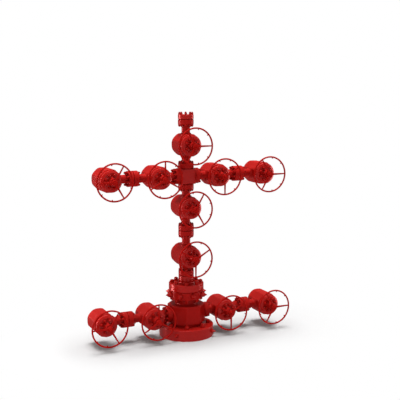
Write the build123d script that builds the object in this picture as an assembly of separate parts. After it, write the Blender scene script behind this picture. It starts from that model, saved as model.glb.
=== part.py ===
from build123d import *
import os

# Oil wellhead valve stack: a tubing head on a base flange, two master valves, a flow cross, a swab
# valve under a tree cap, and two levels of wing valves, each valve with its own bonnet and handwheel.
# Millimetres. +Z is up, the flow arms run along X and every handwheel faces -Y.
# The origin is the centre of the underside of the base flange.

# End flanges of the valves, the adapter and the cap
FLANGE_RADIUS = 110
FLANGE_THICKNESS = 70
FLANGE_ROUND = 5
RAISED_FACE_RADIUS = 66
RAISED_FACE_HEIGHT = 3
NECK_RADIUS = 60
NECK_FILLET = 12
NECK_FOOT_RADIUS = 80
NECK_FOOT_RISE = 18

# Valve body: an octagonal barrel that lies along Y, with its bore crossing at the centre
BARREL_FLATS = 310
BARREL_CORNER_RISE = 9
BARREL_TURNED_RADIUS = BARREL_FLATS / 2 + BARREL_CORNER_RISE
BARREL_BACK_LENGTH = 208
BARREL_BACK_ROUND = 40
BARREL_FRONT_LENGTH = 150
BARREL_FRONT_ROUND = 14
SWAB_BACK_LENGTH = 162
OCTAGON_SIDES = 8

# Bonnet: a bolted flange, a tapered neck and the bearing housing that carries the wheel spindle
BONNET_FLANGE_RADIUS = 150
BONNET_FLANGE_THICKNESS = 62
BONNET_FLANGE_TAPER_IN = 30
BONNET_FLANGE_TAPER_RISE = 17
BONNET_FLANGE_ROUND = 6
BONNET_NECK_FOOT_RADIUS = 62
BONNET_NECK_TAPER_RISE = 40
BONNET_NECK_FILLET = 8
BEARING_HOUSING_RADIUS = 46
BEARING_CAP_RADIUS = 52
BEARING_CAP_THICKNESS = 20
BEARING_CAP_ROUND = 4
BONNET_LENGTH = 158

# Handwheel and its spindle
WHEEL_RADIUS = 250
RIM_TUBE_RADIUS = 11.5
HUB_RADIUS = 38
HUB_THICKNESS = 44
HUB_ROUND = 8
HUB_CLEARANCE = 3
SPOKE_COUNT = 3
SPOKE_ROOT_WIDTH = 30
SPOKE_RIM_WIDTH = 17
SPOKE_THICKNESS = 15
SPOKE_CHAMFER = 4
GRIP_LUG_RADIUS = 8
GRIP_LUG_LENGTH = 11
GRIP_LUG_ANGLE = 40
GRIP_LUG_SIDES = 8
SPINDLE_RADIUS = 16
SPINDLE_CLEARANCE = 0.1
SPINDLE_ENTRY = 60
SPINDLE_NOSE = 14
WHEEL_WASHER_RADIUS = 28
WHEEL_WASHER_THICKNESS = 6
WHEEL_NUT_ACROSS_FLATS = 44
WHEEL_NUT_THICKNESS = 18
HEXAGON_SIDES = 6

# How far each end of a valve body reaches from its bore crossing
LOWER_MASTER_REACH_DOWN = 284
LOWER_MASTER_REACH_UP = 368
UPPER_MASTER_REACH_DOWN = 334
UPPER_MASTER_REACH_UP = 331
SWAB_REACH_DOWN = 330
SWAB_REACH_UP = 359
CROSS_ARM_REACH_TO_CROSS = 341
CROSS_ARM_REACH_BETWEEN = 359.5
BASE_ARM_REACH_TO_HEAD = 308
BASE_ARM_REACH_BETWEEN = 354

# Base flange on the ground and its four alignment screws
BASE_FLANGE_RADIUS = 390
BASE_FLANGE_THICKNESS = 158
BASE_FLANGE_ROUND = 10
BASE_STUD_COUNT = 8
BASE_STUD_EDGE_DISTANCE = 75
BASE_STUD_CIRCLE_RADIUS = BASE_FLANGE_RADIUS - BASE_STUD_EDGE_DISTANCE
BASE_HOLE_RADIUS = 24
BASE_SCREW_COUNT = 4
BASE_SCREW_FIRST_ANGLE = 45
BASE_SCREW_Z = 82
BASE_GLAND_RADIUS = 27
BASE_GLAND_LENGTH = 36
BASE_SCREW_REACH = 66

# Tubing head: lower neck, octagonal block, upper neck and top flange in one casting
HEAD_LOWER_NECK_RADIUS = 228
HEAD_LOWER_NECK_HEIGHT = 44
HEAD_FLATS = 504
HEAD_CORNER_ROUND = 30
HEAD_BLOCK_HEIGHT = 259
HEAD_BLOCK_ROUND = 16
HEAD_OUTLET_HEIGHT = 125
HEAD_UPPER_NECK_RADIUS = 152
HEAD_UPPER_NECK_HEIGHT = 86
HEAD_NECK_FLARE = 16
HEAD_NECK_FILLET = 12
HEAD_FLANGE_RADIUS = 236
HEAD_FLANGE_THICKNESS = 113
HEAD_FLANGE_TAPER_IN = 10
HEAD_FLANGE_TAPER_RISE = 8
HEAD_FLANGE_ROUND = 8
HEAD_SEAT_RADIUS = 130
HEAD_SEAT_HEIGHT = 3

# Lockdown screws round the top flange of the tubing head
LOCK_SCREW_COUNT = 8
LOCK_SCREW_FIRST_ANGLE = 0
LOCK_SCREW_DROP = 54
LOCK_GLAND_RADIUS = 38
LOCK_GLAND_LENGTH = 52
LOCK_SCREW_REACH = 84
SPOT_FACE_DEPTH = 4
SPOT_FACE_MARGIN = 3
GLAND_WAIST_SHARE = 0.72
SCREW_ROOT_SHARE = 0.55
SCREW_TIP_RADIUS = 5

# Adapter between the tubing head and the lower master valve
ADAPTER_FLANGE_RADIUS = 250
ADAPTER_FLANGE_THICKNESS = 103
ADAPTER_HUB_HEIGHT = 107
ADAPTER_FILLET = 14

# Flow cross and tree cap
CROSS_HALF_SIZE = 109
CROSS_ROUND = 10
CAP_FLANGE_THICKNESS = 62
CAP_ROUND = 6

OVERRUN = 5

# Spoke angles of each handwheel, seen from the front, in degrees from +X
SPOKES_LEVEL = 0
SPOKES_HALF_TURN = 60
SPOKES_UPRIGHT = 90
SPOKES_INVERTED = 30

# Heights of the joints up the tower, each from the piece below it
BASE_TOP_Z = BASE_FLANGE_THICKNESS
HEAD_BLOCK_Z = BASE_TOP_Z + HEAD_LOWER_NECK_HEIGHT
HEAD_SHOULDER_Z = HEAD_BLOCK_Z + HEAD_BLOCK_HEIGHT
HEAD_FLANGE_Z = HEAD_SHOULDER_Z + HEAD_UPPER_NECK_HEIGHT
HEAD_RIM_Z = HEAD_FLANGE_Z + HEAD_FLANGE_THICKNESS
HEAD_TOP_Z = HEAD_RIM_Z + HEAD_SEAT_HEIGHT
LOCK_SCREW_Z = HEAD_RIM_Z - LOCK_SCREW_DROP
ADAPTER_TOP_Z = HEAD_TOP_Z + HEAD_SEAT_HEIGHT + ADAPTER_FLANGE_THICKNESS + ADAPTER_HUB_HEIGHT
LOWER_MASTER_Z = ADAPTER_TOP_Z + LOWER_MASTER_REACH_DOWN
UPPER_MASTER_Z = LOWER_MASTER_Z + LOWER_MASTER_REACH_UP + UPPER_MASTER_REACH_DOWN
CROSS_Z = UPPER_MASTER_Z + UPPER_MASTER_REACH_UP + CROSS_HALF_SIZE
SWAB_Z = CROSS_Z + CROSS_HALF_SIZE + SWAB_REACH_DOWN
CAP_Z = SWAB_Z + SWAB_REACH_UP

# Rings of side screws: radius of the flange, height, count and first angle
BASE_SCREW_RING = (BASE_FLANGE_RADIUS, BASE_SCREW_Z, BASE_SCREW_COUNT, BASE_SCREW_FIRST_ANGLE)
LOCK_SCREW_RING = (HEAD_FLANGE_RADIUS, LOCK_SCREW_Z, LOCK_SCREW_COUNT, LOCK_SCREW_FIRST_ANGLE)

# Distances of the wing valves from the tower axis
BASE_ARM_Z = HEAD_BLOCK_Z + HEAD_OUTLET_HEIGHT
BASE_INNER_X = HEAD_FLATS / 2 + BASE_ARM_REACH_TO_HEAD
BASE_OUTER_X = BASE_INNER_X + 2 * BASE_ARM_REACH_BETWEEN
CROSS_INNER_X = CROSS_HALF_SIZE + CROSS_ARM_REACH_TO_CROSS
CROSS_OUTER_X = CROSS_INNER_X + 2 * CROSS_ARM_REACH_BETWEEN

# Directions of the valve ends, as the turn about Y that brings +Z there
UP = 0
RIGHT = 90
DOWN = 180
LEFT = 270


def turned(*corners):
    """Solid turned about Z. Each corner of its half section is (radius, height, rounding)."""
    points = [(radius, 0, height) for radius, height, _ in corners]
    roundings = [rounding for _, _, rounding in corners]
    outline = FilletPolyline(*points, radius=roundings, close=True)
    return revolve(make_face(outline), axis=Axis.Z)


def octagon(across_flats):
    """Octagonal outline in XY with a flat square to each axis."""
    half_side = 180 / OCTAGON_SIDES
    return RegularPolygon(across_flats / 2, OCTAGON_SIDES, major_radius=False, rotation=half_side)


def around(piece, count, first_angle=0):
    """Copies of a piece, evenly spaced about Z."""
    return [Rot(0, 0, first_angle + 360 * index / count) * piece for index in range(count)]


def flanged_neck(reach):
    """One end of a valve body, along +Z from the bore crossing out to its joint face."""
    rim = reach - RAISED_FACE_HEIGHT
    back = rim - FLANGE_THICKNESS
    barrel_side = BARREL_FLATS / 2
    return turned(
        (0, 0, 0),
        (NECK_FOOT_RADIUS, 0, 0),
        (NECK_FOOT_RADIUS, barrel_side, 0),
        (NECK_RADIUS, barrel_side + NECK_FOOT_RISE, NECK_FILLET),
        (NECK_RADIUS, back, NECK_FILLET),
        (FLANGE_RADIUS, back, FLANGE_ROUND),
        (FLANGE_RADIUS, rim, FLANGE_ROUND),
        (RAISED_FACE_RADIUS, rim, 0),
        (RAISED_FACE_RADIUS, reach, 0),
        (0, reach, 0),
    )


def barrel(back_length):
    """Valve barrel along Y: an octagon with turned corners and a turned back."""
    length = back_length + BARREL_FRONT_LENGTH
    envelope = turned(
        (0, 0, 0),
        (BARREL_TURNED_RADIUS, 0, BARREL_BACK_ROUND),
        (BARREL_TURNED_RADIUS, length, BARREL_FRONT_ROUND),
        (0, length, 0),
    )
    block = extrude(octagon(BARREL_FLATS), amount=length) & envelope
    return Rot(90, 0, 0) * Pos(0, 0, -back_length) * block


def valve_body(block, ends):
    """Valve body casting. ends gives the direction and reach of each flanged neck."""
    body = block
    for direction, reach in ends:
        body += Rot(0, direction, 0) * flanged_neck(reach)
    return body


def bonnet():
    """Bonnet along +Z from its seat on the barrel, with the blind bore for the wheel spindle."""
    bore_radius = SPINDLE_RADIUS + SPINDLE_CLEARANCE
    taper_foot = BONNET_FLANGE_THICKNESS - BONNET_FLANGE_TAPER_RISE
    neck_top = BONNET_FLANGE_THICKNESS + BONNET_NECK_TAPER_RISE
    cap_foot = BONNET_LENGTH - BEARING_CAP_THICKNESS
    bore_floor = BONNET_LENGTH + HUB_CLEARANCE - SPINDLE_ENTRY - SPINDLE_CLEARANCE
    return turned(
        (0, 0, 0),
        (BONNET_FLANGE_RADIUS, 0, 0),
        (BONNET_FLANGE_RADIUS, taper_foot, BONNET_FLANGE_ROUND),
        (BONNET_FLANGE_RADIUS - BONNET_FLANGE_TAPER_IN, BONNET_FLANGE_THICKNESS, BONNET_FLANGE_ROUND),
        (BONNET_NECK_FOOT_RADIUS, BONNET_FLANGE_THICKNESS, BONNET_NECK_FILLET),
        (BEARING_HOUSING_RADIUS, neck_top, BONNET_NECK_FILLET),
        (BEARING_HOUSING_RADIUS, cap_foot, 0),
        (BEARING_CAP_RADIUS, cap_foot, 0),
        (BEARING_CAP_RADIUS, BONNET_LENGTH, BEARING_CAP_ROUND),
        (bore_radius, BONNET_LENGTH, 0),
        (bore_radius, bore_floor, 0),
        (0, bore_floor, 0),
    )


def spoke():
    """One tapered spoke along +X, from inside the hub to the middle of the rim tube."""
    root = SPOKE_ROOT_WIDTH / 2
    tip = SPOKE_RIM_WIDTH / 2
    start = HUB_RADIUS / 2
    outline = make_face(
        Polyline((start, -root), (WHEEL_RADIUS, -tip), (WHEEL_RADIUS, tip), (start, root), close=True)
    )
    bar = extrude(outline, amount=SPOKE_THICKNESS / 2, both=True)
    long_edges = bar.edges().filter_by(lambda edge: edge.length > WHEEL_RADIUS / 2)
    return chamfer(long_edges, SPOKE_CHAMFER)


def grip_lug():
    """Short eight-sided lug on the inside of the rim, pointing at the hub along -X."""
    inner = WHEEL_RADIUS - RIM_TUBE_RADIUS - GRIP_LUG_LENGTH
    outline = RegularPolygon(GRIP_LUG_RADIUS, GRIP_LUG_SIDES, rotation=180 / GRIP_LUG_SIDES)
    return Pos(inner, 0, 0) * Rot(0, 90, 0) * extrude(outline, amount=WHEEL_RADIUS - inner)


def handwheel():
    """Handwheel and spindle about Z, rim centred on the origin, front towards +Z."""
    hub_back = -HUB_THICKNESS / 2
    hub_front = HUB_THICKNESS / 2
    washer_front = hub_front + WHEEL_WASHER_THICKNESS
    nut_front = washer_front + WHEEL_NUT_THICKNESS
    hub = turned(
        (0, hub_back - SPINDLE_ENTRY, 0),
        (SPINDLE_RADIUS, hub_back - SPINDLE_ENTRY, 0),
        (SPINDLE_RADIUS, hub_back, 0),
        (HUB_RADIUS, hub_back, HUB_ROUND),
        (HUB_RADIUS, hub_front, HUB_ROUND),
        (WHEEL_WASHER_RADIUS, hub_front, 0),
        (WHEEL_WASHER_RADIUS, washer_front, 0),
        (SPINDLE_RADIUS, washer_front, 0),
        (SPINDLE_RADIUS, nut_front + SPINDLE_NOSE, 0),
        (0, nut_front + SPINDLE_NOSE, 0),
    )
    nut = RegularPolygon(WHEEL_NUT_ACROSS_FLATS / 2, HEXAGON_SIDES, major_radius=False)
    between_spokes = Rot(0, 0, GRIP_LUG_ANGLE / 2)
    wheel = between_spokes * hub
    wheel += Pos(0, 0, washer_front) * extrude(nut, amount=WHEEL_NUT_THICKNESS)
    wheel += around(spoke(), SPOKE_COUNT)
    wheel += between_spokes * Torus(WHEEL_RADIUS, RIM_TUBE_RADIUS)
    lugs = around(grip_lug(), SPOKE_COUNT, GRIP_LUG_ANGLE)
    lugs += around(grip_lug(), SPOKE_COUNT, -GRIP_LUG_ANGLE)
    wheel += lugs
    return wheel


def gland(root_radius, length, reach):
    """Gland and screw along +Z from its spot face, waisted down to the screw's small end."""
    waist = root_radius * GLAND_WAIST_SHARE
    screw = root_radius * SCREW_ROOT_SHARE
    return turned(
        (0, 0, 0),
        (root_radius, 0, 0),
        (root_radius, length / 2, 0),
        (waist, length, 0),
        (screw, length, 0),
        (SCREW_TIP_RADIUS, reach, 0),
        (0, reach, 0),
    )


def side_screws(screw, ring):
    """Screws that stand out sideways round a flange, each on its spot face."""
    flange_radius, height, count, first_angle = ring
    seated = Pos(flange_radius - SPOT_FACE_DEPTH, 0, height) * Rot(0, 90, 0) * screw
    return Compound(around(seated, count, first_angle))


def spot_faces(root_radius, ring):
    """Shallow round cuts round a flange that give each gland a flat seat."""
    flange_radius, height, count, first_angle = ring
    cutter = Cylinder(root_radius + SPOT_FACE_MARGIN, SPOT_FACE_DEPTH + OVERRUN)
    centre = flange_radius + (OVERRUN - SPOT_FACE_DEPTH) / 2
    placed = Pos(centre, 0, height) * Rot(0, 90, 0) * cutter
    return around(placed, count, first_angle)


def base_flange():
    """Heavy round flange on the ground, with its stud holes."""
    flange = turned(
        (0, 0, 0),
        (BASE_FLANGE_RADIUS, 0, 0),
        (BASE_FLANGE_RADIUS, BASE_FLANGE_THICKNESS, BASE_FLANGE_ROUND),
        (0, BASE_FLANGE_THICKNESS, 0),
    )
    hole = Cylinder(BASE_HOLE_RADIUS, BASE_FLANGE_THICKNESS + 2 * OVERRUN)
    placed = Pos(BASE_STUD_CIRCLE_RADIUS, 0, BASE_FLANGE_THICKNESS / 2) * hole
    flange -= around(placed, BASE_STUD_COUNT, 180 / BASE_STUD_COUNT)
    flange -= spot_faces(BASE_GLAND_RADIUS, BASE_SCREW_RING)
    return flange


def tubing_head():
    """Tubing head casting: an octagonal block between a lower neck and a necked top flange."""
    outline = octagon(HEAD_FLATS)
    outline = fillet(outline.vertices(), HEAD_CORNER_ROUND)
    block = extrude(outline, amount=HEAD_BLOCK_HEIGHT)
    block = fillet(block.faces().sort_by(Axis.Z)[-1].edges(), HEAD_BLOCK_ROUND)
    head = Pos(0, 0, HEAD_BLOCK_Z) * block
    head += turned(
        (0, BASE_TOP_Z, 0),
        (HEAD_LOWER_NECK_RADIUS, BASE_TOP_Z, 0),
        (HEAD_LOWER_NECK_RADIUS, HEAD_BLOCK_Z, 0),
        (0, HEAD_BLOCK_Z, 0),
    )
    head += turned(
        (0, HEAD_SHOULDER_Z, 0),
        (HEAD_UPPER_NECK_RADIUS + HEAD_NECK_FLARE, HEAD_SHOULDER_Z, 0),
        (HEAD_UPPER_NECK_RADIUS, HEAD_SHOULDER_Z + HEAD_NECK_FLARE, HEAD_NECK_FILLET),
        (HEAD_UPPER_NECK_RADIUS, HEAD_FLANGE_Z, HEAD_NECK_FILLET),
        (HEAD_FLANGE_RADIUS - HEAD_FLANGE_TAPER_IN, HEAD_FLANGE_Z, 0),
        (HEAD_FLANGE_RADIUS, HEAD_FLANGE_Z + HEAD_FLANGE_TAPER_RISE, 0),
        (HEAD_FLANGE_RADIUS, HEAD_RIM_Z, HEAD_FLANGE_ROUND),
        (HEAD_SEAT_RADIUS, HEAD_RIM_Z, 0),
        (HEAD_SEAT_RADIUS, HEAD_TOP_Z, 0),
        (0, HEAD_TOP_Z, 0),
    )
    head -= spot_faces(LOCK_GLAND_RADIUS, LOCK_SCREW_RING)
    return head


def adapter():
    """Adapter: a wide flange that seats on the tubing head, with a small flanged hub above."""
    bottom = HEAD_TOP_Z
    rim_bottom = bottom + HEAD_SEAT_HEIGHT
    rim_top = rim_bottom + ADAPTER_FLANGE_THICKNESS
    hub_rim = ADAPTER_TOP_Z - RAISED_FACE_HEIGHT
    return turned(
        (0, bottom, 0),
        (HEAD_SEAT_RADIUS, bottom, 0),
        (HEAD_SEAT_RADIUS, rim_bottom, 0),
        (ADAPTER_FLANGE_RADIUS, rim_bottom, HEAD_FLANGE_ROUND),
        (ADAPTER_FLANGE_RADIUS, rim_top, HEAD_FLANGE_ROUND),
        (FLANGE_RADIUS, rim_top, ADAPTER_FILLET),
        (FLANGE_RADIUS, hub_rim, FLANGE_ROUND),
        (RAISED_FACE_RADIUS, hub_rim, 0),
        (RAISED_FACE_RADIUS, ADAPTER_TOP_Z, 0),
        (0, ADAPTER_TOP_Z, 0),
    )


def flow_cross():
    """Forged cross block with a raised joint face on its top, bottom and both sides."""
    side = 2 * (CROSS_HALF_SIZE - RAISED_FACE_HEIGHT)
    block = Box(side, 2 * CROSS_HALF_SIZE, side)
    block = fillet(block.edges(), CROSS_ROUND)
    block += Cylinder(RAISED_FACE_RADIUS, 2 * CROSS_HALF_SIZE)
    block += Rot(0, 90, 0) * Cylinder(RAISED_FACE_RADIUS, 2 * CROSS_HALF_SIZE)
    return Pos(0, 0, CROSS_Z) * block


def tree_cap():
    """Blind flange that closes the top of the swab valve."""
    rim_bottom = CAP_Z + RAISED_FACE_HEIGHT
    top = rim_bottom + CAP_FLANGE_THICKNESS
    return turned(
        (0, CAP_Z, 0),
        (RAISED_FACE_RADIUS, CAP_Z, 0),
        (RAISED_FACE_RADIUS, rim_bottom, 0),
        (FLANGE_RADIUS, rim_bottom, FLANGE_ROUND),
        (FLANGE_RADIUS, top, CAP_ROUND),
        (0, top, 0),
    )


def base_screws():
    """Screws round the base flange, one at each quarter."""
    screw = gland(BASE_GLAND_RADIUS, BASE_GLAND_LENGTH, BASE_SCREW_REACH)
    return side_screws(screw, BASE_SCREW_RING)


def lockdown_screws():
    """Screws round the top flange of the tubing head."""
    screw = gland(LOCK_GLAND_RADIUS, LOCK_GLAND_LENGTH, LOCK_SCREW_REACH)
    return side_screws(screw, LOCK_SCREW_RING)


def valve_sites():
    """Every valve: name, place of its bore crossing, flanged ends and spoke angle."""
    to_cross = CROSS_ARM_REACH_TO_CROSS
    on_cross = CROSS_ARM_REACH_BETWEEN
    to_head = BASE_ARM_REACH_TO_HEAD
    on_base = BASE_ARM_REACH_BETWEEN
    lower_ends = [(DOWN, LOWER_MASTER_REACH_DOWN), (UP, LOWER_MASTER_REACH_UP)]
    upper_ends = [(DOWN, UPPER_MASTER_REACH_DOWN), (UP, UPPER_MASTER_REACH_UP)]
    swab_ends = [(DOWN, SWAB_REACH_DOWN), (UP, SWAB_REACH_UP)]
    left_of_cross = [(RIGHT, to_cross), (LEFT, on_cross)]
    right_of_cross = [(LEFT, to_cross), (RIGHT, on_cross)]
    left_of_head = [(RIGHT, to_head), (LEFT, on_base)]
    right_of_head = [(LEFT, to_head), (RIGHT, on_base)]
    return [
        ("lower_master", 0, LOWER_MASTER_Z, lower_ends, SPOKES_INVERTED),
        ("upper_master", 0, UPPER_MASTER_Z, upper_ends, SPOKES_HALF_TURN),
        ("swab", 0, SWAB_Z, swab_ends, SPOKES_LEVEL),
        ("cross_left_inner", -CROSS_INNER_X, CROSS_Z, left_of_cross, SPOKES_UPRIGHT),
        ("cross_left_outer", -CROSS_OUTER_X, CROSS_Z, [(RIGHT, on_cross)], SPOKES_HALF_TURN),
        ("cross_right_inner", CROSS_INNER_X, CROSS_Z, right_of_cross, SPOKES_INVERTED),
        ("cross_right_outer", CROSS_OUTER_X, CROSS_Z, [(LEFT, on_cross)], SPOKES_LEVEL),
        ("base_left_inner", -BASE_INNER_X, BASE_ARM_Z, left_of_head, SPOKES_UPRIGHT),
        ("base_left_outer", -BASE_OUTER_X, BASE_ARM_Z, [(RIGHT, on_base)], SPOKES_HALF_TURN),
        ("base_right_inner", BASE_INNER_X, BASE_ARM_Z, right_of_head, SPOKES_INVERTED),
        ("base_right_outer", BASE_OUTER_X, BASE_ARM_Z, [(LEFT, on_base)], SPOKES_LEVEL),
    ]


def build_parts():
    """Every piece of the stack by its name."""
    full_barrel = barrel(BARREL_BACK_LENGTH)
    barrels = {"swab": barrel(SWAB_BACK_LENGTH)}
    cover = bonnet()
    wheel = handwheel()
    rim_plane = BARREL_FRONT_LENGTH + BONNET_LENGTH + HUB_CLEARANCE + HUB_THICKNESS / 2
    face_front = Rot(90, 0, 0)
    pieces = {
        "base_flange": base_flange(),
        "base_screws": base_screws(),
        "tubing_head": tubing_head(),
        "lockdown_screws": lockdown_screws(),
        "adapter": adapter(),
        "flow_cross": flow_cross(),
        "tree_cap": tree_cap(),
    }
    for name, x, z, ends, spoke_angle in valve_sites():
        place = Pos(x, 0, z)
        pieces[name + "_body"] = place * valve_body(barrels.get(name, full_barrel), ends)
        pieces[name + "_bonnet"] = place * Pos(0, -BARREL_FRONT_LENGTH, 0) * face_front * cover
        turned_wheel = Rot(0, 0, spoke_angle) * wheel
        pieces[name + "_handwheel"] = place * Pos(0, -rim_plane, 0) * face_front * turned_wheel
    return pieces


os.makedirs("parts", exist_ok=True)
for piece_name, piece in build_parts().items():
    export_step(piece, "parts/" + piece_name + ".step")
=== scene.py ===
"""Looks of the oil wellhead valve stack: red paint, studs and nuts, floor, lights and camera."""

from __future__ import annotations
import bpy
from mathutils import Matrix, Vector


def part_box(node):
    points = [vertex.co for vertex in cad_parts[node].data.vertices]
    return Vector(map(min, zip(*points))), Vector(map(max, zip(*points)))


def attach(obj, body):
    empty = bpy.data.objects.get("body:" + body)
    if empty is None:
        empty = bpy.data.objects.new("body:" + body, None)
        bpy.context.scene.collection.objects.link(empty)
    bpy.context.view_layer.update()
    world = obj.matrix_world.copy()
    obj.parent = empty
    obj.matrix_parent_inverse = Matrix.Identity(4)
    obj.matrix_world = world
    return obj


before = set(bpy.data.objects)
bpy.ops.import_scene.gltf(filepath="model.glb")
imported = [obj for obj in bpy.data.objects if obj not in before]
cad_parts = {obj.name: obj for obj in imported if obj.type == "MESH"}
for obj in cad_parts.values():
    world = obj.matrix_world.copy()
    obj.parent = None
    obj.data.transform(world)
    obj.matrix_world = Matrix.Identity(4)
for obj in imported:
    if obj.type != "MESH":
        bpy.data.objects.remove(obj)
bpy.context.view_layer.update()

import logging
import math
from dataclasses import dataclass, field
from enum import Enum

import bmesh
import bpy
from mathutils import Matrix, Vector

logging.basicConfig(level=logging.INFO, format="%(message)s")
LOG = logging.getLogger("wellhead")

MM = 0.001
ROOT_BODY = "stack"
Colour = tuple[float, float, float]
WHITE: Colour = (1.0, 1.0, 1.0)


def rgba(colour: Colour) -> tuple[float, float, float, float]:
    """Colour with full alpha, as a colour socket takes it."""
    return (*colour, 1.0)


class Facing(Enum):
    """Direction in which a ring of nuts looks, as the axis that its local Z is turned to."""

    LEFT = (-1, 0, 0)
    RIGHT = (1, 0, 0)
    FRONT = (0, -1, 0)
    UP = (0, 0, 1)
    DOWN = (0, 0, -1)

    def turn(self) -> Matrix:
        """Rotation that brings local Z to this direction."""
        return Vector((0, 0, 1)).rotation_difference(Vector(self.value)).to_matrix().to_4x4()


class SocketKind(Enum):
    """Kinds of socket on a node group, as Blender names them."""

    VALUE = "NodeSocketFloat"
    COUNT = "NodeSocketInt"
    COLOUR = "NodeSocketColor"
    GEOMETRY = "NodeSocketGeometry"


Sockets = dict[str, SocketKind]
Fed = dict[str | int, object]


class NodeSheet:
    """Small helper that adds and links nodes in one tree."""

    def __init__(self, tree: bpy.types.NodeTree) -> None:
        """Starts on an empty tree.

        Args:
            tree: The node tree to fill.
        """
        self.tree = tree
        tree.nodes.clear()

    def add(self, kind: str, fed: Fed | None = None, **settings: object) -> bpy.types.Node:
        """Adds a node, sets its properties and feeds its inputs.

        Args:
            kind: The node's type name.
            fed: A socket or a plain value for inputs, by name or number.
            settings: Node properties by name.

        Returns:
            The new node.
        """
        node = self.tree.nodes.new(kind)
        for name, value in settings.items():
            setattr(node, name, value)
        for name, value in (fed or {}).items():
            self.feed(node.inputs[name], value)
        return node

    def link(self, source: bpy.types.NodeSocket, target: bpy.types.NodeSocket) -> None:
        """Links an output to an input."""
        self.tree.links.new(source, target)

    def feed(self, target: bpy.types.NodeSocket, value: object) -> None:
        """Links a socket to an input, or writes a plain value there.

        Args:
            target: The input socket.
            value: An output socket or a plain value.
        """
        if isinstance(value, bpy.types.NodeSocket):
            self.link(value, target)
        else:
            target.default_value = value

    def math(self, operation: str, first: object, second: object) -> bpy.types.NodeSocket:
        """Adds a Math node on two sockets or numbers and gives its output."""
        return self.add("ShaderNodeMath", {0: first, 1: second}, operation=operation).outputs[0]

    def half(self, value: object) -> bpy.types.NodeSocket:
        """Half of a socket or a number."""
        return self.math("MULTIPLY", value, 0.5)

    def along_z(self, value: object) -> bpy.types.NodeSocket:
        """Vector along Z of the given length, a socket or a number."""
        return self.add("ShaderNodeCombineXYZ", {"Z": value}).outputs[0]

    def z_part(self, vector: bpy.types.NodeSocket) -> bpy.types.NodeSocket:
        """Z component of a vector socket."""
        return self.add("ShaderNodeSeparateXYZ", {0: vector}).outputs["Z"]

    def blend(self, share: object, first: object, second: object) -> bpy.types.NodeSocket:
        """Mixes two colours.

        Args:
            share: Share of the second colour.
            first: First colour, a socket or a value.
            second: Second colour, a socket or a value.

        Returns:
            The mixed colour.
        """
        mix = self.add("ShaderNodeMix", {"Factor": share, "A": first, "B": second}, data_type="RGBA")
        return mix.outputs["Result"]


class GroupSheet(NodeSheet):
    """Node sheet of a new node group with named inputs and outputs."""

    def __init__(self, name: str, kind: str, inputs: Sockets, outputs: Sockets) -> None:
        """Makes the group and its end nodes.

        Args:
            name: The group's name.
            kind: The tree's type name.
            inputs: Kind of each input, by name.
            outputs: Kind of each output, by name.
        """
        super().__init__(bpy.data.node_groups.new(name, kind))
        self.identifiers = {label: self._socket(label, "INPUT", socket) for label, socket in inputs.items()}
        for label, socket in outputs.items():
            self._socket(label, "OUTPUT", socket)
        self.given = self.add("NodeGroupInput").outputs
        self.result = self.add("NodeGroupOutput").inputs

    def _socket(self, label: str, way: str, kind: SocketKind) -> str:
        """Adds one socket to the group's interface and gives its identifier."""
        return self.tree.interface.new_socket(label, in_out=way, socket_type=kind.value).identifier


class SurfaceGroups:
    """Shader node groups that several paints share."""

    PATCH_DETAIL = 4.0
    PATCH_FROM = 0.35
    PATCH_TO = 0.7
    PATCH_ROUGHNESS = 0.08
    DUST_COLOUR: Colour = (0.55, 0.42, 0.36)

    def __init__(self) -> None:
        """Builds each group once."""
        self.shade = self._shade_group()
        self.film = self._film_group()

    def _shade_group(self) -> bpy.types.NodeTree:
        """Paint colour with slow batch variation and a faint dusty film on faces that look up.

        Returns:
            The group, which puts out a colour and a roughness.
        """
        inputs = {
            "Paint": SocketKind.COLOUR,
            "Faded Paint": SocketKind.COLOUR,
            "Patch Scale": SocketKind.VALUE,
            "Dust": SocketKind.VALUE,
            "Roughness": SocketKind.VALUE,
        }
        outputs = {"Colour": SocketKind.COLOUR, "Roughness": SocketKind.VALUE}
        sheet = GroupSheet("Paint shade", "ShaderNodeTree", inputs, outputs)
        place = sheet.add("ShaderNodeTexCoord").outputs["Object"]
        pattern = {"Vector": place, "Scale": sheet.given["Patch Scale"], "Detail": self.PATCH_DETAIL}
        patches = sheet.add("ShaderNodeTexNoise", pattern, noise_dimensions="3D")
        reach = {"Value": patches.outputs["Fac"], "From Min": self.PATCH_FROM, "From Max": self.PATCH_TO}
        spread = sheet.add("ShaderNodeMapRange", reach).outputs["Result"]
        paint = sheet.blend(spread, sheet.given["Paint"], sheet.given["Faded Paint"])
        normal = sheet.add("ShaderNodeNewGeometry").outputs["Normal"]
        facing_up = sheet.math("MAXIMUM", sheet.z_part(normal), 0.0)
        dusty = sheet.math("MULTIPLY", facing_up, sheet.given["Dust"])
        sheet.link(sheet.blend(dusty, paint, rgba(self.DUST_COLOUR)), sheet.result["Colour"])
        uneven = sheet.math("MULTIPLY", spread, self.PATCH_ROUGHNESS)
        sheet.link(sheet.math("ADD", uneven, sheet.given["Roughness"]), sheet.result["Roughness"])
        return sheet.tree

    def _film_group(self) -> bpy.types.NodeTree:
        """Height of the paint film: sprayed orange peel over the grain of the metal beneath.

        Returns:
            The group, which puts out a height.
        """
        layers = (("Peel Scale", "Peel Depth"), ("Grain Scale", "Grain Depth"))
        inputs = {label: SocketKind.VALUE for layer in layers for label in layer}
        sheet = GroupSheet("Paint film", "ShaderNodeTree", inputs, {"Height": SocketKind.VALUE})
        place = sheet.add("ShaderNodeTexCoord").outputs["Object"]
        heights = []
        for scale, depth in layers:
            pattern = {"Vector": place, "Scale": sheet.given[scale]}
            noise = sheet.add("ShaderNodeTexNoise", pattern, noise_dimensions="3D")
            heights.append(sheet.math("MULTIPLY", noise.outputs["Fac"], sheet.given[depth]))
        sheet.link(sheet.math("ADD", *heights), sheet.result["Height"])
        return sheet.tree


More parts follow.
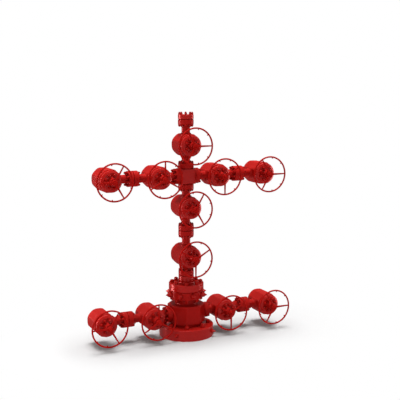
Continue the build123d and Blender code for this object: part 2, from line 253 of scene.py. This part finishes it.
@dataclass(frozen=True)
class PaintFinish:
    """Gloss paint over one kind of metal surface. Colours are linear, scales are per metre."""

    name: str
    paint: Colour = (0.7, 0.0085, 0.006)
    faded: Colour = (0.76, 0.0125, 0.009)
    bounce: Colour = (0.2, 0.015, 0.013)
    metallic: float = 0.03
    roughness: float = 0.25
    specular: float = 0.0
    gloss: float = 0.045
    coat_ior: float = 2.2
    coat_roughness: float = 0.28
    patch_scale: float = 2.6
    dust: float = 0.02
    peel_scale: float = 260.0
    peel_depth: float = 0.25
    grain_scale: float = 55.0
    grain_depth: float = 0.5
    bump_distance: float = 0.0006
    bump_strength: float = 0.08

    def material(self, groups: SurfaceGroups) -> bpy.types.Material:
        """Builds the material. Light that a dull surface sends on meets the weaker bounce colour.

        Args:
            groups: The shared shader node groups.

        Returns:
            The new material.
        """
        made = bpy.data.materials.new(self.name)
        made.use_nodes = True
        sheet = NodeSheet(made.node_tree)
        shade_values = {
            "Paint": rgba(self.paint),
            "Faded Paint": rgba(self.faded),
            "Patch Scale": self.patch_scale,
            "Dust": self.dust,
            "Roughness": self.roughness,
        }
        shade = sheet.add("ShaderNodeGroup", shade_values, node_tree=groups.shade)
        film_values = {
            "Peel Scale": self.peel_scale,
            "Peel Depth": self.peel_depth,
            "Grain Scale": self.grain_scale,
            "Grain Depth": self.grain_depth,
        }
        film = sheet.add("ShaderNodeGroup", film_values, node_tree=groups.film)
        relief = {
            "Height": film.outputs["Height"],
            "Distance": self.bump_distance,
            "Strength": self.bump_strength,
        }
        bump = sheet.add("ShaderNodeBump", relief)
        bounced = sheet.add("ShaderNodeLightPath").outputs["Is Diffuse Ray"]
        surface = {
            "Base Color": sheet.blend(bounced, shade.outputs["Colour"], rgba(self.bounce)),
            "Roughness": shade.outputs["Roughness"],
            "Normal": bump.outputs["Normal"],
            "Metallic": self.metallic,
            "Specular IOR Level": self.specular,
            "Coat Weight": self.gloss,
            "Coat IOR": self.coat_ior,
            "Coat Roughness": self.coat_roughness,
        }
        shader = sheet.add("ShaderNodeBsdfPrincipled", surface)
        sheet.add("ShaderNodeOutputMaterial", {"Surface": shader.outputs["BSDF"]})
        return made


CASTING_PAINT = PaintFinish("Cast body paint")
TURNED_PAINT = PaintFinish(
    "Machined steel paint", metallic=0.08, gloss=0.085, grain_depth=0.1, coat_roughness=0.18
)
HANDWHEEL_PAINT = PaintFinish("Handwheel paint", gloss=0.02, grain_depth=0.2)
NUT_PAINT = PaintFinish("Nut paint", grain_depth=0.1, coat_roughness=0.14)


@dataclass(frozen=True)
class NutSize:
    """One size of stud and nut, in metres."""

    across_flats: float
    height: float
    stud_radius: float
    stud_proud: float
    shank: float


class NutTree:
    """Geometry Nodes tree that sets a ring of chamfered hexagon nuts on their studs, round local Z."""

    COUNT = "Count"
    CIRCLE = "Circle Radius"
    FLATS = "Across Flats"
    HEIGHT = "Nut Height"
    STUD = "Stud Radius"
    PROUD = "Stud Proud"
    SHANK = "Shank Depth"
    PHASE = "Phase"
    HEXAGON = 6
    STUD_SIDES = 14
    CHAMFER_SHARE = 0.16
    CHAMFER_SCALE = 0.87
    LOOKS_UP_FROM = 0.9

    def __init__(self, material: bpy.types.Material) -> None:
        """Builds the tree once.

        Args:
            material: The paint that the nuts take.
        """
        lengths = (self.CIRCLE, self.FLATS, self.HEIGHT, self.STUD, self.PROUD, self.SHANK, self.PHASE)
        inputs = {self.COUNT: SocketKind.COUNT, **{name: SocketKind.VALUE for name in lengths}}
        self.sheet = GroupSheet("Nut ring", "GeometryNodeTree", inputs, {"Geometry": SocketKind.GEOMETRY})
        self._fill(material)

    def _raised(self, geometry: bpy.types.NodeSocket, rise: object) -> bpy.types.NodeSocket:
        """Moves geometry along Z.

        Args:
            geometry: The geometry.
            rise: How far, a socket or a number.

        Returns:
            The moved geometry.
        """
        moved = {"Geometry": geometry, "Translation": self.sheet.along_z(rise)}
        return self.sheet.add("GeometryNodeTransform", moved).outputs["Geometry"]

    def _chamfered(self, sides: int, radius: object, height: object) -> bpy.types.NodeSocket:
        """Prism on the XY plane with a chamfered top.

        Args:
            sides: Number of sides.
            radius: Corner radius, a socket or a number.
            height: Whole height, a socket or a number.

        Returns:
            The prism's geometry.
        """
        sheet = self.sheet
        chamfer = sheet.math("MULTIPLY", radius, self.CHAMFER_SHARE)
        body_height = sheet.math("SUBTRACT", height, chamfer)
        sizes = {"Vertices": sides, "Radius": radius, "Depth": body_height}
        prism = sheet.add("GeometryNodeMeshCylinder", sizes)
        standing = self._raised(prism.outputs["Mesh"], sheet.half(body_height))
        normal = sheet.add("GeometryNodeInputNormal").outputs[0]
        is_top = sheet.math("GREATER_THAN", sheet.z_part(normal), self.LOOKS_UP_FROM)
        upper = {"Mesh": standing, "Selection": is_top, "Offset Scale": chamfer}
        extruded = sheet.add("GeometryNodeExtrudeMesh", upper, mode="FACES").outputs
        drawn_in = {
            "Geometry": extruded["Mesh"],
            "Selection": extruded["Top"],
            "Scale": self.CHAMFER_SCALE,
        }
        return sheet.add("GeometryNodeScaleElements", drawn_in, domain="FACE").outputs["Geometry"]

    def _fill(self, material: bpy.types.Material) -> None:
        """Lays out the nodes.

        Args:
            material: The paint that the nuts take.
        """
        sheet = self.sheet
        given = sheet.given
        corner = sheet.math("DIVIDE", sheet.half(given[self.FLATS]), math.cos(math.pi / self.HEXAGON))
        nut = self._chamfered(self.HEXAGON, corner, given[self.HEIGHT])
        above = sheet.math("ADD", given[self.HEIGHT], given[self.PROUD])
        stud_length = sheet.math("ADD", above, given[self.SHANK])
        stud = self._chamfered(self.STUD_SIDES, given[self.STUD], stud_length)
        sunk = self._raised(stud, sheet.math("MULTIPLY", given[self.SHANK], -1.0))
        pair = sheet.add("GeometryNodeJoinGeometry")
        for part in (sunk, nut):
            sheet.link(part, pair.inputs["Geometry"])
        stations = {"Vertices": given[self.COUNT], "Radius": given[self.CIRCLE]}
        circle = sheet.add("GeometryNodeMeshCircle", stations)
        position = {"Vector": sheet.add("GeometryNodeInputPosition").outputs[0]}
        outward = sheet.add("FunctionNodeAlignRotationToVector", position, axis="X", pivot_axis="Z")
        copies = {
            "Points": circle.outputs["Mesh"],
            "Instance": pair.outputs["Geometry"],
            "Rotation": outward.outputs["Rotation"],
        }
        placed = sheet.add("GeometryNodeInstanceOnPoints", copies).outputs["Instances"]
        turned = {"Geometry": placed, "Rotation": sheet.along_z(given[self.PHASE])}
        spin = sheet.add("GeometryNodeTransform", turned)
        realize = sheet.add("GeometryNodeRealizeInstances", {"Geometry": spin.outputs["Geometry"]})
        coated = {"Geometry": realize.outputs["Geometry"], "Material": material}
        coat = sheet.add("GeometryNodeSetMaterial", coated)
        sheet.link(coat.outputs["Geometry"], sheet.result["Geometry"])

    def ring(self, size: NutSize, count: int, circle_radius: float, phase: float) -> bpy.types.Mesh:
        """Evaluates one ring of nuts about the origin.

        Args:
            size: Size of the nuts and studs.
            count: How many.
            circle_radius: Radius of the stud circle.
            phase: Turn of the first nut from local X, in radians.

        Returns:
            A plain mesh.
        """
        holder = bpy.data.objects.new("ring", bpy.data.meshes.new("ring"))
        bpy.context.scene.collection.objects.link(holder)
        modifier = holder.modifiers.new("Nut ring", "NODES")
        modifier.node_group = self.sheet.tree
        values = {
            self.COUNT: count,
            self.CIRCLE: circle_radius,
            self.FLATS: size.across_flats,
            self.HEIGHT: size.height,
            self.STUD: size.stud_radius,
            self.PROUD: size.stud_proud,
            self.SHANK: size.shank,
            self.PHASE: phase,
        }
        for name, value in values.items():
            modifier[self.sheet.identifiers[name]] = value
        graph = bpy.context.evaluated_depsgraph_get()
        mesh = bpy.data.meshes.new_from_object(holder.evaluated_get(graph))
        bpy.data.objects.remove(holder)
        return mesh


@dataclass
class NutSet:
    """All the nuts of one size and place that ride on the stack, joined as one piece."""

    name: str
    size: NutSize
    count: int
    circle_radius: float
    places: list[tuple[Vector, Facing]] = field(default_factory=list)

    def build(self, tree: NutTree, material: bpy.types.Material) -> None:
        """Joins the rings into one mesh and fixes it to the stack.

        Args:
            tree: The tree that makes a ring.
            material: The nuts' paint.
        """
        half_step = math.pi / self.count
        ring = tree.ring(self.size, self.count, self.circle_radius, half_step)
        joined = bmesh.new()
        for centre, facing in self.places:
            copy = ring.copy()
            copy.transform(Matrix.Translation(centre) @ facing.turn())
            joined.from_mesh(copy)
            bpy.data.meshes.remove(copy)
        mesh = bpy.data.meshes.new(self.name)
        joined.to_mesh(mesh)
        joined.free()
        mesh.materials.append(material)
        piece = bpy.data.objects.new(self.name, mesh)
        bpy.context.scene.collection.objects.link(piece)
        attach(piece, ROOT_BODY)
        LOG.info("%s: %d rings, %d faces", self.name, len(self.places), len(mesh.polygons))


@dataclass
class SmoothCasting:
    """Smooth shading of the CAD pieces: rounded faces smooth, corners sharp."""

    sharp_angle: float = math.radians(16)
    merge_distance: float = 0.02 * MM

    def tree(self) -> bpy.types.NodeTree:
        """Builds the tree that merges the loose triangles and shades them by angle.

        Returns:
            The tree, for a modifier on each CAD piece.
        """
        ends = {"Geometry": SocketKind.GEOMETRY}
        sheet = GroupSheet("Smooth casting", "GeometryNodeTree", ends, ends)
        loose = {"Geometry": sheet.given["Geometry"], "Distance": self.merge_distance}
        merged = sheet.add("GeometryNodeMergeByDistance", loose).outputs["Geometry"]
        faces = sheet.add("GeometryNodeSetShadeSmooth", {"Geometry": merged}, domain="FACE")
        angle = sheet.add("GeometryNodeInputMeshEdgeAngle").outputs["Unsigned Angle"]
        corners = {
            "Geometry": faces.outputs["Geometry"],
            "Selection": sheet.math("GREATER_THAN", angle, self.sharp_angle),
            "Shade Smooth": False,
        }
        edges = sheet.add("GeometryNodeSetShadeSmooth", corners, domain="EDGE")
        sheet.link(edges.outputs["Geometry"], sheet.result["Geometry"])
        return sheet.tree

    @staticmethod
    def dress(node: bpy.types.Object, tree: bpy.types.NodeTree, material: bpy.types.Material) -> None:
        """Smooths one CAD piece and gives it its paint.

        Args:
            node: The CAD piece.
            tree: The smoothing tree.
            material: Its paint.
        """
        modifier = node.modifiers.new("Smooth casting", "NODES")
        modifier.node_group = tree
        weighted = node.modifiers.new("Flat faces flat", "WEIGHTED_NORMAL")
        weighted.keep_sharp = True
        for place in node.material_slots:
            place.material = material
        LOG.info("%s: %s", node.name, material.name)


@dataclass
class Valves:
    """Where the valves stand, read from the boxes of the CAD pieces, and the sizes that their nuts need."""

    flange_thickness: float = 70 * MM
    raised_face: float = 3 * MM
    flange_nuts: NutSize = NutSize(32 * MM, 24 * MM, 10 * MM, 9 * MM, 74 * MM)
    flange_circle: float = 89 * MM
    bonnet_nuts: NutSize = NutSize(36 * MM, 27 * MM, 12 * MM, 9 * MM, 4 * MM)
    bonnet_circle: float = 90 * MM
    bonnet_flange: float = 62 * MM
    nuts_in_ring: int = 8

    @staticmethod
    def names() -> list[str]:
        """Names of the valves, from their bonnets."""
        suffix = "_bonnet"
        return sorted(name.removesuffix(suffix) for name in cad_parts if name.endswith(suffix))

    @staticmethod
    def centre(name: str) -> Vector:
        """Crossing of a valve's bore and stem, on the tower's plane.

        Args:
            name: The valve's name.

        Returns:
            The point.
        """
        low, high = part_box(name + "_bonnet")
        middle = (low + high) / 2
        return Vector((middle.x, 0, middle.z))

    def flange_backs(self, name: str) -> list[tuple[Vector, Facing]]:
        """Back faces of a valve's end flanges, where its nuts seat.

        Args:
            name: The valve's name.

        Returns:
            The centre of each back face and the way its nuts look.
        """
        low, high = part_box(name + "_body")
        centre = self.centre(name)
        barrel_half = min(high.x - low.x, high.z - low.z) / 2
        inset = self.flange_thickness + self.raised_face
        ends = [
            (centre.x - low.x, Vector((low.x + inset, 0, centre.z)), Facing.RIGHT),
            (high.x - centre.x, Vector((high.x - inset, 0, centre.z)), Facing.LEFT),
            (centre.z - low.z, Vector((0, 0, low.z + inset)), Facing.UP),
            (high.z - centre.z, Vector((0, 0, high.z - inset)), Facing.DOWN),
        ]
        flanged = barrel_half + inset
        return [(place, facing) for reach, place, facing in ends if reach > flanged]

    def bonnet_face(self, name: str) -> tuple[Vector, Facing]:
        """Front face of a valve's bonnet flange.

        Args:
            name: The valve's name.

        Returns:
            The centre of the face and the way its nuts look.
        """
        _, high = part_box(name + "_bonnet")
        centre = self.centre(name)
        return Vector((centre.x, high.y - self.bonnet_flange, centre.z)), Facing.FRONT

    def nut_sets(self) -> list[NutSet]:
        """The nuts of all end flanges and of all bonnets.

        Returns:
            One set for the flanges and one for the bonnets.
        """
        flange = NutSet("flange_nuts", self.flange_nuts, self.nuts_in_ring, self.flange_circle)
        bonnet = NutSet("bonnet_nuts", self.bonnet_nuts, self.nuts_in_ring, self.bonnet_circle)
        for name in self.names():
            flange.places += self.flange_backs(name)
            bonnet.places.append(self.bonnet_face(name))
        return [flange, bonnet]


@dataclass
class Tower:
    """Studs and nuts of the cap, the tubing head and the base flange."""

    cap_nuts: NutSize = NutSize(30 * MM, 26 * MM, 10 * MM, 10 * MM, 4 * MM)
    head_nuts: NutSize = NutSize(50 * MM, 34 * MM, 17 * MM, 6 * MM, 4 * MM)
    base_nuts: NutSize = NutSize(58 * MM, 42 * MM, 20 * MM, 12 * MM, 4 * MM)
    cap_circle: float = 89 * MM
    head_circle: float = 204 * MM
    base_circle: float = 315 * MM
    adapter_hub: float = 107 * MM
    head_flange: float = 113 * MM
    head_seat: float = 3 * MM
    nuts_in_ring: int = 8

    def nut_sets(self) -> list[NutSet]:
        """The nuts on the cap, above and below the head joint, and on the base flange.

        Returns:
            One set for each ring.
        """
        cap_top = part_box("tree_cap")[1].z
        hub_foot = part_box("adapter")[1].z - self.adapter_hub
        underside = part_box("tubing_head")[1].z - self.head_seat - self.head_flange
        base_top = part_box("base_flange")[1].z
        rings = [
            ("cap_nuts", self.cap_nuts, self.cap_circle, cap_top, Facing.UP),
            ("head_nuts", self.head_nuts, self.head_circle, hub_foot, Facing.UP),
            ("head_underside_nuts", self.head_nuts, self.head_circle, underside, Facing.DOWN),
            ("base_nuts", self.base_nuts, self.base_circle, base_top, Facing.UP),
        ]
        return [
            NutSet(name, size, self.nuts_in_ring, circle, [(Vector((0, 0, height)), facing)])
            for name, size, circle, height, facing in rings
        ]


@dataclass
class PhotoCamera:
    """The camera that stood before the stack, solved from the rims of the handwheels."""

    place: Vector = field(default_factory=lambda: Vector((-4.5924, -10.2422, 3.5972)))
    target: Vector = field(default_factory=lambda: Vector((0.2197, 0.0, 1.9444)))
    lens: float = 72.05
    sensor: float = 36.0

    def build(self) -> None:
        """Creates the camera and makes it the scene's own."""
        data = bpy.data.cameras.new("Camera")
        data.lens = self.lens
        data.sensor_width = self.sensor
        camera = bpy.data.objects.new("Camera", data)
        bpy.context.scene.collection.objects.link(camera)
        camera.location = self.place
        camera.rotation_mode = "QUATERNION"
        camera.rotation_quaternion = (self.target - self.place).to_track_quat("-Z", "Y")
        bpy.context.scene.camera = camera


@dataclass
class Studio:
    """Pale floor, soft lamps overhead and at both sides, and a white background."""

    floor_size: float = 60.0
    floor_colour: Colour = (0.95, 0.95, 0.95)
    floor_bounce: Colour = (0.45, 0.45, 0.45)
    floor_roughness: float = 0.9
    floor_specular: float = 0.1
    cloud_scale: float = 3.0
    cloud_share: float = 0.99
    arm_reach: float = 1.3
    shadow_reach: float = 0.5
    white_from: float = 1.5
    sky_strength: float = 0.22
    key_energy: float = 2.52
    key_angle: float = math.radians(30)
    key_place: Vector = field(default_factory=lambda: Vector((0.3, 0.4, 11.0)))
    fill_energy: float = 40.0
    fill_size: float = 4.0
    fill_place: Vector = field(default_factory=lambda: Vector((-6.5, -2.0, 2.5)))
    left_energy: float = 300.0
    right_energy: float = 150.0
    panel_width: float = 1.7
    panel_height: float = 4.4
    left_panel: Vector = field(default_factory=lambda: Vector((-3.6, 2.39, 1.3)))
    right_panel: Vector = field(default_factory=lambda: Vector((4.29, -0.29, 1.3)))
    tower_middle: Vector = field(default_factory=lambda: Vector((0.0, 0.0, 1.2)))

    def build(self) -> None:
        """Builds floor, sky and lamps."""
        self._floor()
        self._sky()
        key = bpy.data.lights.new("Key", "SUN")
        key.energy = self.key_energy
        key.angle = self.key_angle
        self._hang(key, self.key_place, self.tower_middle)
        fill = self._softbox("Fill", (self.fill_size, self.fill_size), self.fill_energy)
        self._hang(fill, self.fill_place, self.tower_middle).visible_glossy = False
        panel_size = (self.panel_width, self.panel_height)
        left = self._softbox("Left panel", panel_size, self.left_energy)
        right = self._softbox("Right panel", panel_size, self.right_energy)
        for panel, place in ((left, self.left_panel), (right, self.right_panel)):
            self._hang(panel, place, Vector((0, 0, place.z))).visible_diffuse = False
        bpy.context.scene.view_settings.view_transform = "Standard"

    @staticmethod
    def _plain_rays(sheet: NodeSheet) -> bpy.types.NodeSocket:
        """Mask of the rays that see the plain white backdrop: camera, glossy and transmission rays.

        Args:
            sheet: The sheet of the floor's material or of the sky.

        Returns:
            The mask.
        """
        rays = sheet.add("ShaderNodeLightPath").outputs
        mirrored = sheet.math("MAXIMUM", rays["Is Glossy Ray"], rays["Is Transmission Ray"])
        return sheet.math("MAXIMUM", rays["Is Camera Ray"], mirrored)

    def _away_from_stack(self, sheet: NodeSheet, place: bpy.types.NodeSocket) -> bpy.types.NodeSocket:
        """Mask that rises from none to full with the distance from the line under the arms.

        Args:
            sheet: The sheet of the floor's material.
            place: The floor's own coordinates.

        Returns:
            The mask.
        """
        kind = "ShaderNodeVectorMath"
        right_end = (self.arm_reach, 0.0, 0.0)
        left_end = (-self.arm_reach, 0.0, 0.0)
        within = sheet.add(kind, {0: place, 1: right_end}, operation="MINIMUM").outputs["Vector"]
        nearest = sheet.add(kind, {0: within, 1: left_end}, operation="MAXIMUM").outputs["Vector"]
        distance = sheet.add(kind, {0: place, 1: nearest}, operation="DISTANCE").outputs["Value"]
        reach = {"Value": distance, "From Min": self.shadow_reach, "From Max": self.white_from}
        return sheet.add("ShaderNodeMapRange", reach, interpolation_type="SMOOTHSTEP").outputs["Result"]

    def _floor_material(self) -> bpy.types.Material:
        """Pale matt floor near the stack, which goes over to the plain white backdrop farther out.

        Returns:
            The new material.
        """
        material = bpy.data.materials.new("Studio floor")
        material.use_nodes = True
        sheet = NodeSheet(material.node_tree)
        place = sheet.add("ShaderNodeTexCoord").outputs["Object"]
        pattern = {"Vector": place, "Scale": self.cloud_scale}
        clouds = sheet.add("ShaderNodeTexNoise", pattern, noise_dimensions="3D").outputs["Fac"]
        darker = tuple(part * self.cloud_share for part in self.floor_colour)
        tone = sheet.blend(clouds, rgba(self.floor_colour), rgba(darker))
        bounced = sheet.add("ShaderNodeLightPath").outputs["Is Diffuse Ray"]
        surface = {
            "Base Color": sheet.blend(bounced, tone, rgba(self.floor_bounce)),
            "Roughness": self.floor_roughness,
            "Specular IOR Level": self.floor_specular,
        }
        lit = sheet.add("ShaderNodeBsdfPrincipled", surface)
        plain = sheet.add("ShaderNodeEmission", {"Color": rgba(WHITE)})
        share = sheet.math("MULTIPLY", self._away_from_stack(sheet, place), self._plain_rays(sheet))
        ends = {0: share, 1: lit.outputs["BSDF"], 2: plain.outputs["Emission"]}
        mix = sheet.add("ShaderNodeMixShader", ends)
        sheet.add("ShaderNodeOutputMaterial", {"Surface": mix.outputs["Shader"]})
        return material

    def _floor(self) -> None:
        """Floor under the stack that keeps its shadow."""
        half = self.floor_size / 2
        mesh = bpy.data.meshes.new("floor")
        corners = [(-half, -half, 0), (half, -half, 0), (half, half, 0), (-half, half, 0)]
        mesh.from_pydata(corners, [], [(0, 1, 2, 3)])
        mesh.materials.append(self._floor_material())
        floor = bpy.data.objects.new("floor", mesh)
        bpy.context.scene.collection.objects.link(floor)
        floor.visible_glossy = False

    def _sky(self) -> None:
        """Even soft light from all round, seen as plain white by the camera and in reflections."""
        world = bpy.data.worlds.new("Studio sky")
        bpy.context.scene.world = world
        world.use_nodes = True
        sheet = NodeSheet(world.node_tree)
        soft = sheet.add("ShaderNodeBackground", {"Color": rgba(WHITE), "Strength": self.sky_strength})
        white = sheet.add("ShaderNodeBackground", {"Color": rgba(WHITE), "Strength": 1.0})
        ends = {0: self._plain_rays(sheet), 1: soft.outputs["Background"], 2: white.outputs["Background"]}
        mix = sheet.add("ShaderNodeMixShader", ends)
        sheet.add("ShaderNodeOutputWorld", {"Surface": mix.outputs["Shader"]})

    @staticmethod
    def _softbox(name: str, size: tuple[float, float], energy: float) -> bpy.types.Light:
        """Makes the light of one soft rectangular lamp.

        Args:
            name: The lamp's name.
            size: Its width and height, in metres.
            energy: Its power in watts.

        Returns:
            The light, not yet hung.
        """
        light = bpy.data.lights.new(name, "AREA")
        light.shape = "RECTANGLE"
        light.size, light.size_y = size
        light.energy = energy
        return light

    @staticmethod
    def _hang(light: bpy.types.Light, place: Vector, target: Vector) -> bpy.types.Object:
        """Hangs a light where the camera doesn't see it.

        Args:
            light: The light.
            place: Where it hangs.
            target: The point that it faces.

        Returns:
            The lamp.
        """
        lamp = bpy.data.objects.new(light.name, light)
        bpy.context.scene.collection.objects.link(lamp)
        lamp.location = place
        lamp.rotation_mode = "QUATERNION"
        lamp.rotation_quaternion = (target - place).to_track_quat("-Z", "Y")
        lamp.visible_camera = False
        return lamp


def paint_cad_pieces(groups: SurfaceGroups) -> None:
    """Gives every CAD piece its paint and its smooth shading.

    Args:
        groups: The shared shader node groups.
    """
    casting = CASTING_PAINT.material(groups)
    turned = TURNED_PAINT.material(groups)
    handwheel = HANDWHEEL_PAINT.material(groups)
    smoothing = SmoothCasting()
    tree = smoothing.tree()
    for name, node in sorted(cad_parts.items()):
        if name.endswith("_handwheel"):
            material = handwheel
        elif name.endswith("_body") or name == "tubing_head":
            material = casting
        else:
            material = turned
        smoothing.dress(node, tree, material)


def main() -> None:
    """Builds the looks of the stack in order."""
    PhotoCamera().build()
    Studio().build()
    groups = SurfaceGroups()
    paint_cad_pieces(groups)
    nut_paint = NUT_PAINT.material(groups)
    tree = NutTree(nut_paint)
    for nuts in Valves().nut_sets() + Tower().nut_sets():
        nuts.build(tree, nut_paint)


if __name__ == "__main__":
    main()
